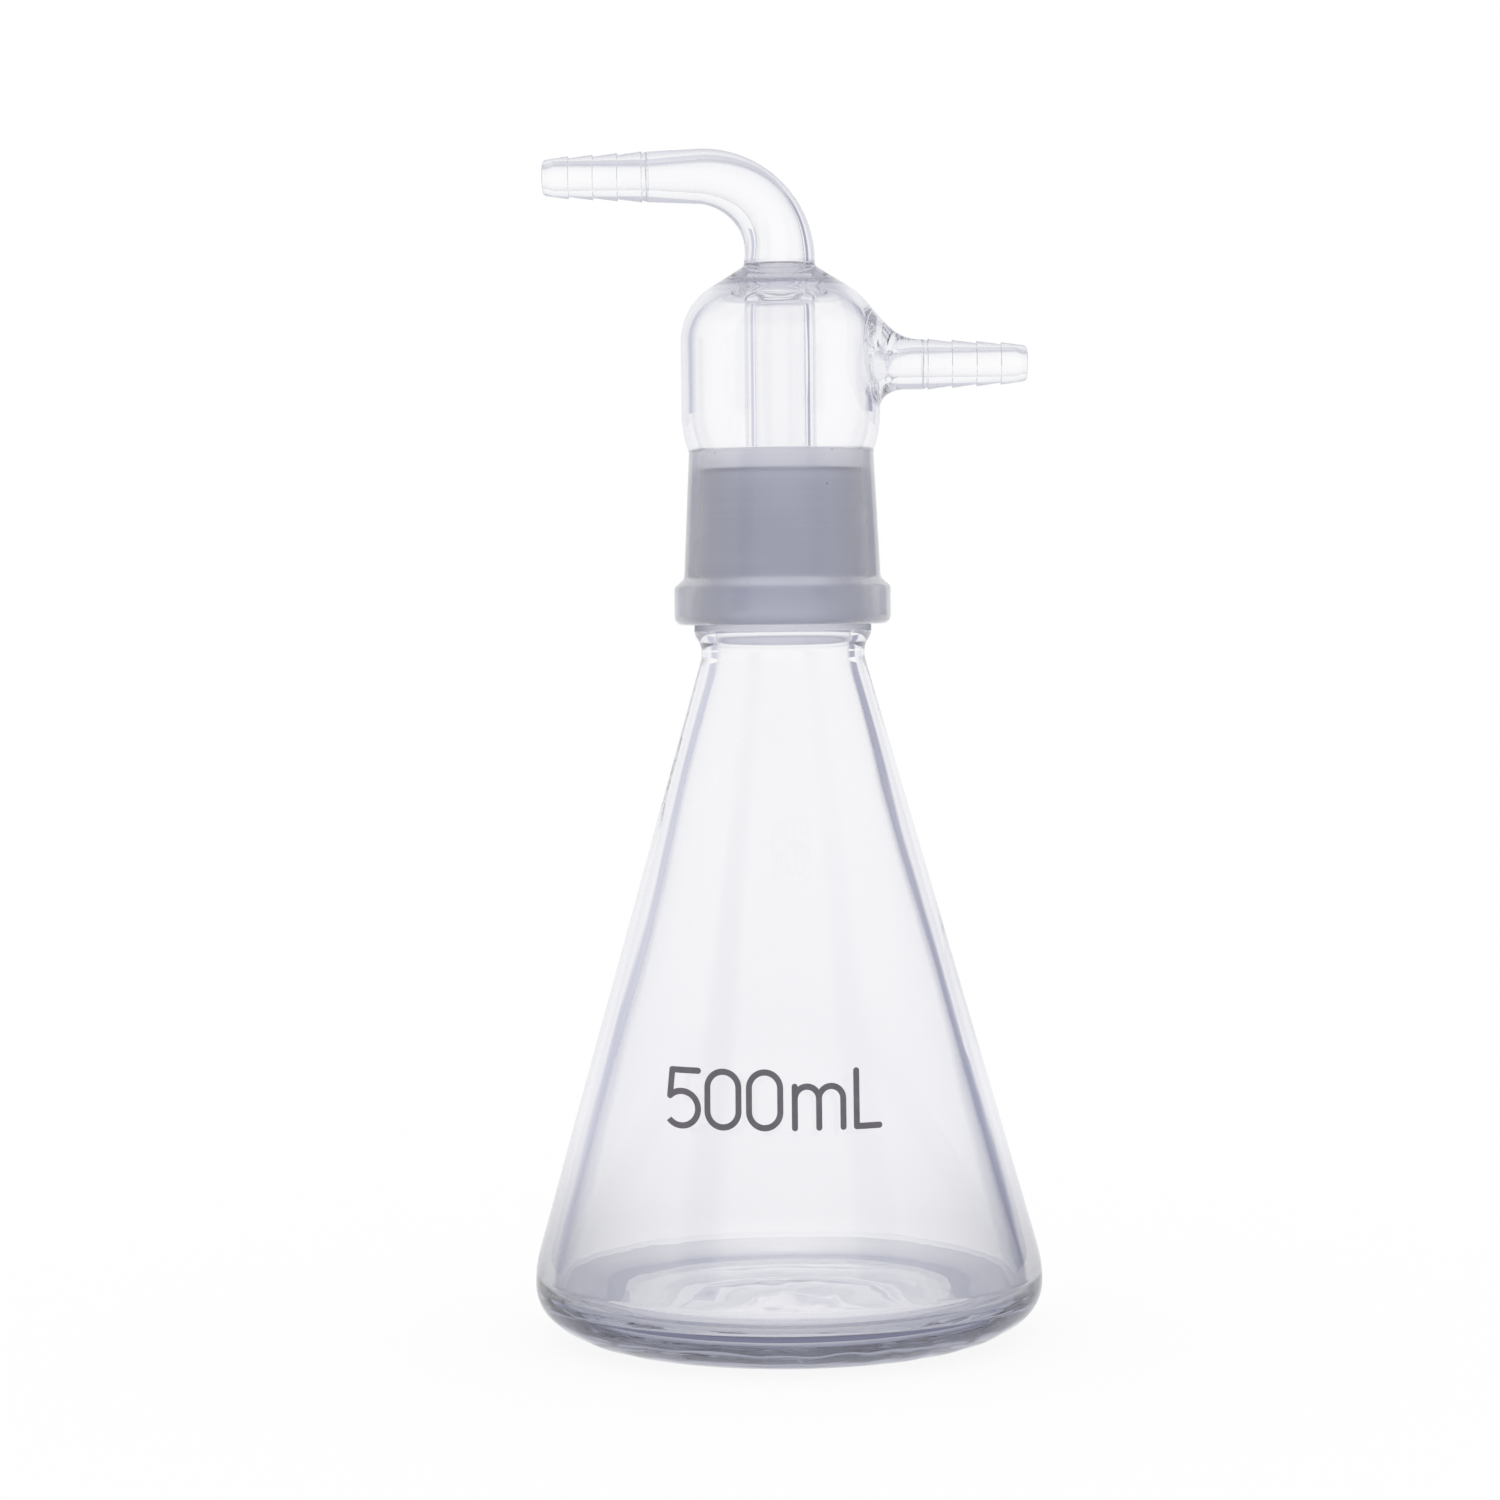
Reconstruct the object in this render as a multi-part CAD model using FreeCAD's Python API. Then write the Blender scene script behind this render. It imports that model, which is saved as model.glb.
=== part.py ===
import FreeCAD
import Part
import math
import os

# Vacuum flask with a lift-off head, in borosilicate glass.
# Millimetres. Origin on the axis at the bench surface, +Z up, +X towards the outlet.
# A thick conical flask carries a ground cone. The head's ground socket sits over it.
# The head is a dome with a bent inlet on top, an inner tube below it and a side outlet.

Vector = FreeCAD.Vector

# Standard 1:10 ground joint, 40 mm across at its large end
joint_large_radius = 20.0
joint_length = 36.4
joint_slope = 0.05
joint_base_z = 159.3
joint_clearance = 0.02
joint_rim_z = joint_base_z + joint_length

# Conical flask
base_radius = 57.45
heel_under_radius = 48.1
heel_side_z = 7.2
wall_slope = 0.2845
cone_radius = 28.0
cone_z = 119.7
upper_wall = 3.95
lower_wall = 5.3
lower_wall_z = 60.0
heel_wall = 5.0
heel_wall_z = 15.0
waist_radius = 18.45
waist_z = 156.0
neck_lip_radius = 19.85
neck_lip_z = 158.2
neck_bore_radius = 15.5
throat_radius = 14.15
throat_z = 154.4
rim_bore_radius = 15.0
foot_inner_radius = 38.5
foot_outer_radius = 41.5
punt_height = 2.6
floor_z = 9.3
floor_disc_radius = 41.5
floor_disc_rise = 0.6

# Ground socket of the head
socket_rim_z = 160.7
socket_top_z = 199.2
bead_radius = 24.45
bead_shoulder_z = 169.3
bead_top_z = 171.3
socket_lower_radius = 22.2
socket_upper_radius = 20.85

# Dome of the head
dome_radius = 22.4
dome_wall = 2.3
dome_foot_z = 199.7
dome_side_z = 204.0
dome_shoulder_z = 232.4
dome_top_z = 242.5
collar_z = 241.4
inner_shoulder_z = 231.1
ceiling_z = 236.5
ceiling_radius = 11.5
ring_seal_z = 233.0

# Tube that makes the inlet, both inside the dome and above it
tube_radius = 8.0
tube_bore = 5.75
inner_tube_end_z = 170.0
bend_outer_radius = 25.4
bend_end_radius = 6.2
bend_end_bore = 3.8
inlet_seam_x = -29.7
inlet_z = dome_top_z + bend_outer_radius - bend_end_radius

# Outlet on the side of the dome
outlet_z = 219.0
outlet_seam_x = 32.1
outlet_flare = 5.0
outlet_patch_radius = 11.4

# Barbed hose nozzle, the same at the inlet and the outlet
nozzle_length = 23.5
nozzle_root_radius = 5.65
nozzle_bore = 2.95
nozzle_tip_radius = 3.95
nozzle_tip_bore = 2.1
barb_count = 4
barb_pitch = 5.5
first_barb = 5.9
first_barb_radius = 4.8
barb_growth = 0.3
barb_step = 0.4

# Enamel capacity mark on the front of the flask
mark_height = 11.6
mark_base_z = 52.8
mark_first_x = -22.9
mark_pitch = 9.0
mark_stroke = 1.3
mark_thickness = 0.1
mark_slab_depth = 60.0


def wall_radius(z):
    """Radius of the flask's straight outer wall at height z."""
    return cone_radius + wall_slope * (cone_z - z)


def joint_radius(z):
    """Radius of the ground surface of the cone at height z."""
    return joint_large_radius - joint_slope * (z - joint_base_z)


def outline(corners):
    """Closed wire through (radius, height, rounding) corners in the XZ plane."""
    points = [Vector(x, 0, z) for x, z, rounding in corners]
    edges = []
    joins = []
    count = len(corners)
    for i in range(count):
        here = points[i]
        back = (points[i - 1] - here).normalize()
        ahead = (points[(i + 1) % count] - here).normalize()
        rounding = corners[i][2]
        if rounding == 0:
            joins.append((here, here, None))
            continue
        half = back.getAngle(ahead) / 2
        reach = rounding / math.tan(half)
        towards_centre = (back + ahead).normalize()
        middle = here + towards_centre * (rounding / math.sin(half) - rounding)
        joins.append((here + back * reach, here + ahead * reach, middle))
    for i in range(count):
        start, end, middle = joins[i]
        if middle is not None:
            edges.append(Part.Arc(start, middle, end).toShape())
        following = joins[(i + 1) % count][0]
        if end.distanceToPoint(following) > 1e-6:
            edges.append(Part.LineSegment(end, following).toShape())
    return Part.Wire(edges)


def lathe(corners, base=Vector(0, 0, 0), axis=Vector(0, 0, 1)):
    """Solid of revolution of an outline about an axis."""
    return Part.Face(outline(corners)).revolve(base, axis, 360)


def wall_height(radius):
    """Height at which the flask's straight outer wall has this radius."""
    return cone_z - (radius - cone_radius) / wall_slope


def flask_body():
    """Thick conical wall, heavy heel and pushed-up bottom, open at the neck."""
    lower_radius = wall_radius(lower_wall_z) - lower_wall
    heel_radius = wall_radius(heel_wall_z) - heel_wall
    lean = (heel_radius - lower_radius) / (lower_wall_z - heel_wall_z)
    corners = [
        (0, punt_height, 0),
        (foot_inner_radius / 2, punt_height, 230),
        (foot_inner_radius, 0, 4),
        (foot_outer_radius, 0, 0),
        (heel_under_radius, 0, 19),
        (base_radius, heel_side_z, 10),
        (base_radius, wall_height(base_radius), 27),
        (waist_radius, wall_height(waist_radius), 3),
        (waist_radius, waist_z, 5),
        (neck_lip_radius, neck_lip_z, 2),
        (joint_large_radius, joint_base_z, 0),
        (neck_bore_radius, joint_base_z, 0),
        (throat_radius, throat_z, 17),
        (cone_radius - upper_wall, cone_z, 200),
        (lower_radius, lower_wall_z, 300),
        (heel_radius + lean * (heel_wall_z - floor_z), floor_z, 4),
        (floor_disc_radius + 1, floor_z, 1.5),
        (floor_disc_radius - 1, floor_z + floor_disc_rise, 1.5),
        (0, floor_z + floor_disc_rise, 0),
    ]
    return lathe(corners)


def flask_ground_cone():
    """Ground cone on the neck: tapered outside and in, eased rim."""
    rim_radius = joint_radius(joint_rim_z)
    corners = [
        (neck_bore_radius, joint_base_z, 0),
        (joint_large_radius, joint_base_z, 0),
        (rim_radius, joint_rim_z, 0.5),
        (rim_bore_radius, joint_rim_z, 1.2),
    ]
    return lathe(corners)


def head_ground_socket():
    """Socket ground to the cone's taper, with a thick bead round its rim."""
    rim_bore = joint_radius(socket_rim_z) + joint_clearance
    top_bore = joint_radius(socket_top_z) + joint_clearance
    corners = [
        (rim_bore, socket_rim_z, 0.3),
        (bead_radius, socket_rim_z, 2.0),
        (bead_radius, bead_shoulder_z, 1.5),
        (socket_lower_radius, bead_top_z, 1.5),
        (socket_upper_radius, socket_top_z, 0),
        (top_bore, socket_top_z, 0),
    ]
    return lathe(corners)


def dome_outside():
    """Outer form of the dome as a solid plug."""
    corners = [
        (0, socket_top_z, 0),
        (socket_upper_radius, socket_top_z, 0),
        (socket_upper_radius, dome_foot_z, 2),
        (dome_radius, dome_side_z, 8),
        (dome_radius, dome_shoulder_z, 14),
        (tube_radius, collar_z, 1.2),
        (tube_radius, dome_top_z, 0),
        (0, dome_top_z, 0),
    ]
    return lathe(corners)


def dome_inside():
    """Hollow of the dome round the inner tube, with the fillet of the ring seal."""
    inner = dome_radius - dome_wall
    mouth = joint_radius(socket_top_z) + joint_clearance
    below = socket_top_z - 5
    corners = [
        (tube_radius, below, 0),
        (mouth, below, 0),
        (mouth, dome_foot_z, 2),
        (inner, dome_side_z + 0.5, 8),
        (inner, inner_shoulder_z, 11.7),
        (ceiling_radius, ceiling_z, 1.5),
        (tube_radius, ceiling_z, 2.8),
    ]
    return lathe(corners)


def along_x(radius, start_x, end_x, height):
    """Cylinder along X at a given height."""
    return Part.makeCylinder(radius, end_x - start_x, Vector(start_x, 0, height), Vector(1, 0, 0))


def head_dome_and_outlet():
    """Dome and outlet tube as blown, then parted at the edge of the flare."""
    tube = along_x(nozzle_root_radius, dome_radius - dome_wall, outlet_seam_x, outlet_z)
    outside = dome_outside().fuse(tube)
    junction = [
        edge for edge in outside.Edges
        if dome_radius - dome_wall < edge.BoundBox.XMin
        and edge.BoundBox.XMax < outlet_seam_x - 1
        and abs(edge.CenterOfMass.z - outlet_z) < nozzle_root_radius
        and edge.BoundBox.ZLength < 2 * nozzle_root_radius + 1
        and edge.BoundBox.YMax < nozzle_root_radius + 1
    ]
    outside = outside.makeFillet(outlet_flare, junction)
    bore = Part.makeCylinder(tube_bore, 60, Vector(0, 0, ring_seal_z - 30))
    passage = along_x(nozzle_bore, tube_radius + 2, outlet_seam_x + 1, outlet_z)
    below_seal = Part.makeCylinder(
        tube_radius, ring_seal_z - socket_top_z + 1, Vector(0, 0, socket_top_z - 1)
    )
    whole = outside.cut([dome_inside(), bore, passage, below_seal])
    patch = along_x(outlet_patch_radius, tube_radius + 2, outlet_seam_x + 1, outlet_z)
    return whole.cut(patch), whole.common(patch)


def inner_tube():
    """Straight tube from the ring seal down into the joint, fire-polished below."""
    corners = [
        (tube_bore, inner_tube_end_z, 0.9),
        (tube_radius, inner_tube_end_z, 0.9),
        (tube_radius, ring_seal_z, 0),
        (tube_bore, ring_seal_z, 0),
    ]
    return lathe(corners)


def bend_section(angle, start_radius, end_radius):
    """Ring round the bent inlet tube, which narrows as it turns from upright to level."""
    share = angle / 90
    outer = tube_radius + (bend_end_radius - tube_radius) * share
    radius = start_radius + (end_radius - start_radius) * share
    pivot = Vector(tube_radius - bend_outer_radius, 0, dome_top_z)
    place = pivot + Vector(bend_outer_radius - outer, 0, 0)
    ring = Part.Wire(Part.makeCircle(radius, place))
    ring.rotate(pivot, Vector(0, 1, 0), -angle)
    return ring


def bent_tube(start_radius, bend_radius, end_radius):
    """Plug through the bend's sections, then a coaxial taper to the nozzle."""
    sections = [bend_section(angle, start_radius, bend_radius) for angle in range(0, 91, 15)]
    bend = Part.makeLoft(sections, True, False)
    bend_end_x = tube_radius - bend_outer_radius
    taper = Part.makeCone(
        bend_radius, end_radius, bend_end_x - inlet_seam_x,
        Vector(bend_end_x, 0, inlet_z), Vector(-1, 0, 0),
    )
    return bend.fuse(taper)


def inlet_elbow():
    """Tube bent from the top of the dome towards the inlet nozzle."""
    outside = bent_tube(tube_radius, bend_end_radius, nozzle_root_radius)
    bore = bent_tube(tube_bore, bend_end_bore, nozzle_bore)
    return outside.cut(bore)


def hose_nozzle(seam_x, height, direction):
    """Barbed nozzle along X from its fused end to its fire-polished tip."""
    corners = [(0, nozzle_bore, 0), (0, nozzle_root_radius, 0)]
    for i in reversed(range(barb_count)):
        from_seam = nozzle_length - first_barb - barb_pitch * i
        ridge = first_barb_radius + barb_growth * i
        corners.append((from_seam - barb_step, ridge - barb_step, 0.3))
        corners.append((from_seam, ridge, 0.3))
    corners.append((nozzle_length, nozzle_tip_radius, 1.1))
    corners.append((nozzle_length, nozzle_tip_bore, 0.5))
    corners.append((nozzle_length - 2.6, nozzle_bore, 2))
    placed = [(seam_x + direction * x, height + radius, rounding) for x, radius, rounding in corners]
    return lathe(placed, Vector(0, 0, height), Vector(1, 0, 0))


def bar(x1, z1, x2, z2):
    """Straight enamel stroke with round ends, as an upright slab in front of the flask."""
    half = mark_stroke / 2
    run = Vector(x2 - x1, 0, z2 - z1)
    side = Vector(-run.z, 0, run.x).normalize() * half
    start = Vector(x1, -mark_slab_depth, z1)
    end = start + run
    loop = Part.makePolygon([start + side, end + side, end - side, start - side, start + side])
    depth = Vector(0, mark_slab_depth, 0)
    pieces = [Part.Face(loop).extrude(depth)]
    for place in (start, end):
        pieces.append(Part.makeCylinder(half, mark_slab_depth, place, Vector(0, 1, 0)))
    return pieces


def arch(x, z, radius, start_angle, end_angle):
    """Round enamel stroke about (x, z), as an upright slab in front of the flask."""
    half = mark_stroke / 2
    turn = end_angle - start_angle
    ring = Part.makeCylinder(radius + half, mark_slab_depth, Vector(0, 0, 0), Vector(0, 0, 1), turn)
    ring = ring.cut(Part.makeCylinder(radius - half, mark_slab_depth))
    ring.rotate(Vector(0, 0, 0), Vector(0, 0, 1), start_angle)
    ring.rotate(Vector(0, 0, 0), Vector(1, 0, 0), 90)
    ring.translate(Vector(x, 0, z))
    return [ring]


def glyph_five(x, z, tall):
    """The figure 5."""
    bowl = tall * 0.31
    middle = z + bowl
    shoulder = middle + bowl * math.sin(math.radians(135))
    stem_x = x + bowl * math.cos(math.radians(135))
    strokes = bar(stem_x, shoulder, stem_x + 0.5, z + tall)
    strokes += bar(stem_x + 0.5, z + tall, x + bowl, z + tall)
    return strokes + arch(x, middle, bowl, -140, 135)


def glyph_zero(x, z, tall):
    """The figure 0."""
    half_width = tall * 0.29
    low = z + half_width
    high = z + tall - half_width
    strokes = bar(x - half_width, low, x - half_width, high)
    strokes += bar(x + half_width, low, x + half_width, high)
    return strokes + arch(x, low, half_width, 180, 360) + arch(x, high, half_width, 0, 180)


def glyph_m(x, z, tall):
    """The small letter m."""
    arm = tall * 0.225
    height = tall * 0.74
    strokes = bar(x - 2 * arm, z, x - 2 * arm, z + height)
    strokes += bar(x, z, x, z + height - arm)
    strokes += bar(x + 2 * arm, z, x + 2 * arm, z + height - arm)
    for side in (-arm, arm):
        strokes += arch(x + side, z + height - arm, arm, 0, 180)
    return strokes


def glyph_l(x, z, tall):
    """The capital letter L."""
    return bar(x, z, x, z + tall) + bar(x, z, x + tall * 0.42, z)


def capacity_mark():
    """Capacity figure in enamel strokes that lie on the conical wall."""
    low = mark_base_z - mark_stroke
    high = mark_base_z + mark_height + mark_stroke
    cone = Part.makeCone(wall_radius(low), wall_radius(high), high - low, Vector(0, 0, low))
    skin = Part.makeCone(
        wall_radius(low) + mark_thickness,
        wall_radius(high) + mark_thickness,
        high - low,
        Vector(0, 0, low),
    ).cut(cone)
    glyphs = [glyph_five, glyph_zero, glyph_zero, glyph_m, glyph_l]
    places = [0, 1, 2, 3.3, 4.2]
    solids = []
    for glyph, place in zip(glyphs, places):
        strokes = glyph(mark_first_x + place * mark_pitch, mark_base_z, mark_height)
        letter = strokes[0].fuse(strokes[1:])
        solids += letter.common(skin).removeSplitter().Solids
    return Part.makeCompound(solids)


def main():
    os.makedirs("parts", exist_ok=True)
    dome, side_arm = head_dome_and_outlet()
    nodes = {
        "flask_body": flask_body(),
        "flask_ground_cone": flask_ground_cone(),
        "capacity_mark": capacity_mark(),
        "head_ground_socket": head_ground_socket(),
        "head_dome": dome,
        "outlet_side_arm": side_arm,
        "inner_tube": inner_tube(),
        "inlet_elbow": inlet_elbow(),
        "inlet_hose_nozzle": hose_nozzle(inlet_seam_x, inlet_z, -1),
        "outlet_hose_nozzle": hose_nozzle(outlet_seam_x, outlet_z, 1),
    }
    for name, shape in nodes.items():
        print(name, len(shape.Solids), round(shape.Volume, 2), shape.isValid())
        shape.exportStep(f"parts/{name}.step")


main()
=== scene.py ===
import math

import bpy
import numpy as np
from mathutils import Matrix, Vector


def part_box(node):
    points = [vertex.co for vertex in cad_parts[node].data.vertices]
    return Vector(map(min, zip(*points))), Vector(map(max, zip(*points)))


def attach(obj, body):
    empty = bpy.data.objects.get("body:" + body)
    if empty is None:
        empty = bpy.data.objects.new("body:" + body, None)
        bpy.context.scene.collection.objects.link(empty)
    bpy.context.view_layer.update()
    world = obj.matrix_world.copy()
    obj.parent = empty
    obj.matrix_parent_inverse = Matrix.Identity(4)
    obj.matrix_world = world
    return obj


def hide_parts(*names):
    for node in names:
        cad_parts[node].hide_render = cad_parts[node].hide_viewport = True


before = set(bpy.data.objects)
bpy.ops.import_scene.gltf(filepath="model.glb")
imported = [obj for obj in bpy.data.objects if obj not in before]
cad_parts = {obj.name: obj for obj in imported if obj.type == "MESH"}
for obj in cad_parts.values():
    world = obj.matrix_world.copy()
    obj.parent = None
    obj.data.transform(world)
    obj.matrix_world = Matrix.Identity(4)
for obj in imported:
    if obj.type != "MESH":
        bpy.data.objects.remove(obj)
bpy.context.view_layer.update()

# Vacuum flask with a lift-off head, in borosilicate glass. Shapes below are worked out in
# millimetres in the CAD frame, and turned into metres where a mesh is made.
MM = 0.001
rng = np.random.default_rng(7)


def span(node):
    """Lowest and highest corner of a CAD node, in millimetres."""
    low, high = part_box(node)
    return np.array(low) / MM, np.array(high) / MM


body_high = span("flask_body")[1]
cone_low, cone_high = span("flask_ground_cone")
socket_low, socket_high = span("head_ground_socket")
dome_low, dome_high = span("head_dome")
arm_low, arm_high = span("outlet_side_arm")
tube_low, tube_high = span("inner_tube")
elbow_low, elbow_high = span("inlet_elbow")
nozzle_low, nozzle_high = span("outlet_hose_nozzle")

# Sizes that several pieces share, in millimetres
tube_radius = tube_high[0]
patch_radius = (arm_high[1] - arm_low[1]) / 2
outlet_z = (arm_high[2] + arm_low[2]) / 2
taper = 0.05
joint_clearance = 0.02
neck_bore = 15.5
socket_top_radius = 20.85
tube_bore = 5.75
nozzle_root = 5.65
nozzle_bore = 2.95

# A tube's skin is drawn in by the groove where another piece is fused to it, and the two fused
# faces stand apart by the gap, so that they never lie in one plane
seam_groove = 0.25
seam_gap = 0.002

# Surfaces of a piece of glass, which index its material slots
CLEAR, BORE, DISC, ANNULUS, HEEL, COLLAR, GROUND, SEAM = range(8)

# Columns of faces round a turned piece, and round a small tube
around = 240
around_tube = 120


# ---------------------------------------------------------------- outlines and meshes

def outline(corners, closed=True, longest=2.0, turn=5.0):
    """Points and surfaces along (x, z, rounding, surface) corners, with arcs at the rounded ones.

    A surface runs from its corner to the next one. Faces are at most longest wide, and an arc
    turns at most turn degrees from one point to the next.
    """
    points = []
    surfaces = []
    count = len(corners)
    places = [np.array(corner[:2], float) for corner in corners]
    for i in range(count):
        here = places[i]
        rounding = corners[i][2]
        surface = corners[i][3] if len(corners[i]) > 3 else CLEAR
        at_end = not closed and i in (0, count - 1)
        if rounding and not at_end:
            back = places[i - 1] - here
            ahead = places[(i + 1) % count] - here
            back /= np.linalg.norm(back)
            ahead /= np.linalg.norm(ahead)
            half = math.acos(np.clip(back @ ahead, -1, 1)) / 2
            bisector = (back + ahead) / np.linalg.norm(back + ahead)
            centre = here + bisector * rounding / math.sin(half)
            start = here + back * rounding / math.tan(half)
            first = start - centre
            swing = math.pi - 2 * half
            sign = 1.0 if back[0] * ahead[1] - back[1] * ahead[0] < 0 else -1.0
            steps = max(2, math.ceil(math.degrees(swing) / turn), math.ceil(rounding * swing / longest))
            for k in range(steps + 1):
                angle = sign * swing * k / steps
                c, s = math.cos(angle), math.sin(angle)
                turned = np.array([c * first[0] - s * first[1], s * first[0] + c * first[1]])
                points.append(centre + turned)
                surfaces.append(surface)
        else:
            points.append(here)
            surfaces.append(surface)
    filled = []
    kinds = []
    total = len(points)
    for i in range(total):
        filled.append(points[i])
        kinds.append(surfaces[i])
        if not closed and i == total - 1:
            break
        run = points[(i + 1) % total] - points[i]
        pieces = max(1, math.ceil(np.linalg.norm(run) / longest))
        for k in range(1, pieces):
            filled.append(points[i] + run * k / pieces)
            kinds.append(surfaces[i])
    return np.array(filled), kinds


def part_seams(points, faces, kinds):
    """Draw fused faces back by a hair, and turn all faces outwards. Points are in millimetres."""
    corners = [(points[face[0]], points[face[1]], points[face[2]], points[face[-1]]) for face in faces]
    a, b, c, d = (np.array(column) for column in zip(*corners))
    volume = np.einsum("ij,ij->i", a, np.cross(b, c)) + np.einsum("ij,ij->i", a, np.cross(c, d))
    if volume.sum() < 0:
        faces = [face[::-1] for face in faces]
    normals = np.cross(c - a, d - b) if volume.sum() > 0 else np.cross(d - b, c - a)
    drawn = points.copy()
    for face, kind, normal in zip(faces, kinds, normals):
        if kind == SEAM:
            inwards = normal / -np.linalg.norm(normal)
            for corner in face:
                drawn[corner] = points[corner] + inwards * seam_gap / 2
    return drawn, faces


def make_piece(node, vertices, faces, kinds, body, slot, materials):
    """Mesh object from millimetre vertices, which rides on a body and stands for a CAD node."""
    crease = 38
    points, faces = part_seams(np.asarray(vertices, float), faces, kinds)
    mesh = bpy.data.meshes.new(node + "_glass")
    mesh.from_pydata((points * MM).tolist(), [], faces)
    for material in materials:
        mesh.materials.append(material)
    mesh.polygons.foreach_set("material_index", kinds)
    mesh.shade_smooth()
    mesh.set_sharp_from_angle(angle=math.radians(crease))
    piece = bpy.data.objects.new(node + "_glass", mesh)
    bpy.context.scene.collection.objects.link(piece)
    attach(piece, body)
    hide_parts(node)


def band(first, second, kind, faces, kinds):
    """Add the quads between two rings of vertex numbers."""
    count = len(first)
    for i in range(count):
        j = (i + 1) % count
        faces.append((first[i], first[j], second[j], second[i]))
        kinds.append(kind)


def lathe(profile, kinds, ripple=None, on_axis=False, segments=around):
    """Vertices, faces and surfaces of a profile turned about Z. On-axis ends close in a fan."""
    axis_radius = 1e-9
    rows = len(profile)
    angles = np.arange(segments) * 2 * math.pi / segments
    vertices = []
    starts = []
    for row, (r, z) in enumerate(profile):
        starts.append(len(vertices))
        if r < axis_radius:
            vertices.append((0.0, 0.0, z))
            continue
        radius = np.full(segments, r)
        height = np.full(segments, z)
        if ripple is not None:
            shift_r, shift_z = ripple(r, z, row, angles)
            radius = radius + shift_r
            height = height + shift_z
        ring = np.stack([radius * np.cos(angles), radius * np.sin(angles), height], axis=1)
        vertices.extend(ring.tolist())
    faces = []
    face_kinds = []
    last = rows - 1 if on_axis else rows
    for row in range(last):
        after = (row + 1) % rows
        a, b = starts[row], starts[after]
        a_pole = profile[row][0] < axis_radius
        b_pole = profile[after][0] < axis_radius
        for i in range(segments):
            j = (i + 1) % segments
            if a_pole:
                faces.append((a, b + j, b + i))
            elif b_pole:
                faces.append((a + i, a + j, b))
            else:
                faces.append((a + i, a + j, b + j, b + i))
            face_kinds.append(kinds[row])
    return np.array(vertices), faces, face_kinds


# ---------------------------------------------------------------- the flask

def waves(count, longest, shortest, size):
    """Seeded sum of plane waves, as a function of x and y in millimetres."""
    lengths = rng.uniform(shortest, longest, count)
    headings = rng.uniform(0, 2 * math.pi, count)
    phases = rng.uniform(0, 2 * math.pi, count)

    def height(x, y):
        total = np.zeros_like(x)
        for length, heading, phase in zip(lengths, headings, phases):
            along = x * math.cos(heading) + y * math.sin(heading)
            total += np.cos(2 * math.pi * along / length + phase) * math.sqrt(length / longest)
        return total * size / math.sqrt(count)

    return height


def wall_drift(size, lobes=6):
    """Seeded slow change of wall thickness round and up a blown wall."""
    count, tallest, swings = 7, 160.0, 2.5
    turns = rng.integers(1, lobes + 1, count)
    climbs = rng.uniform(-1, 1, count) * 2 * math.pi / tallest * swings
    phases = rng.uniform(0, 2 * math.pi, count)

    def drift(angles, z):
        total = np.zeros_like(angles)
        for turn, climb, phase in zip(turns, climbs, phases):
            total += np.cos(turn * angles + climb * z + phase)
        return total * size / math.sqrt(count)

    return drift


def fade_in(distance, width):
    """0 up to a limit, then rising to 1 at this width past it."""
    return min(1.0, max(0.0, distance / width))


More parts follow.
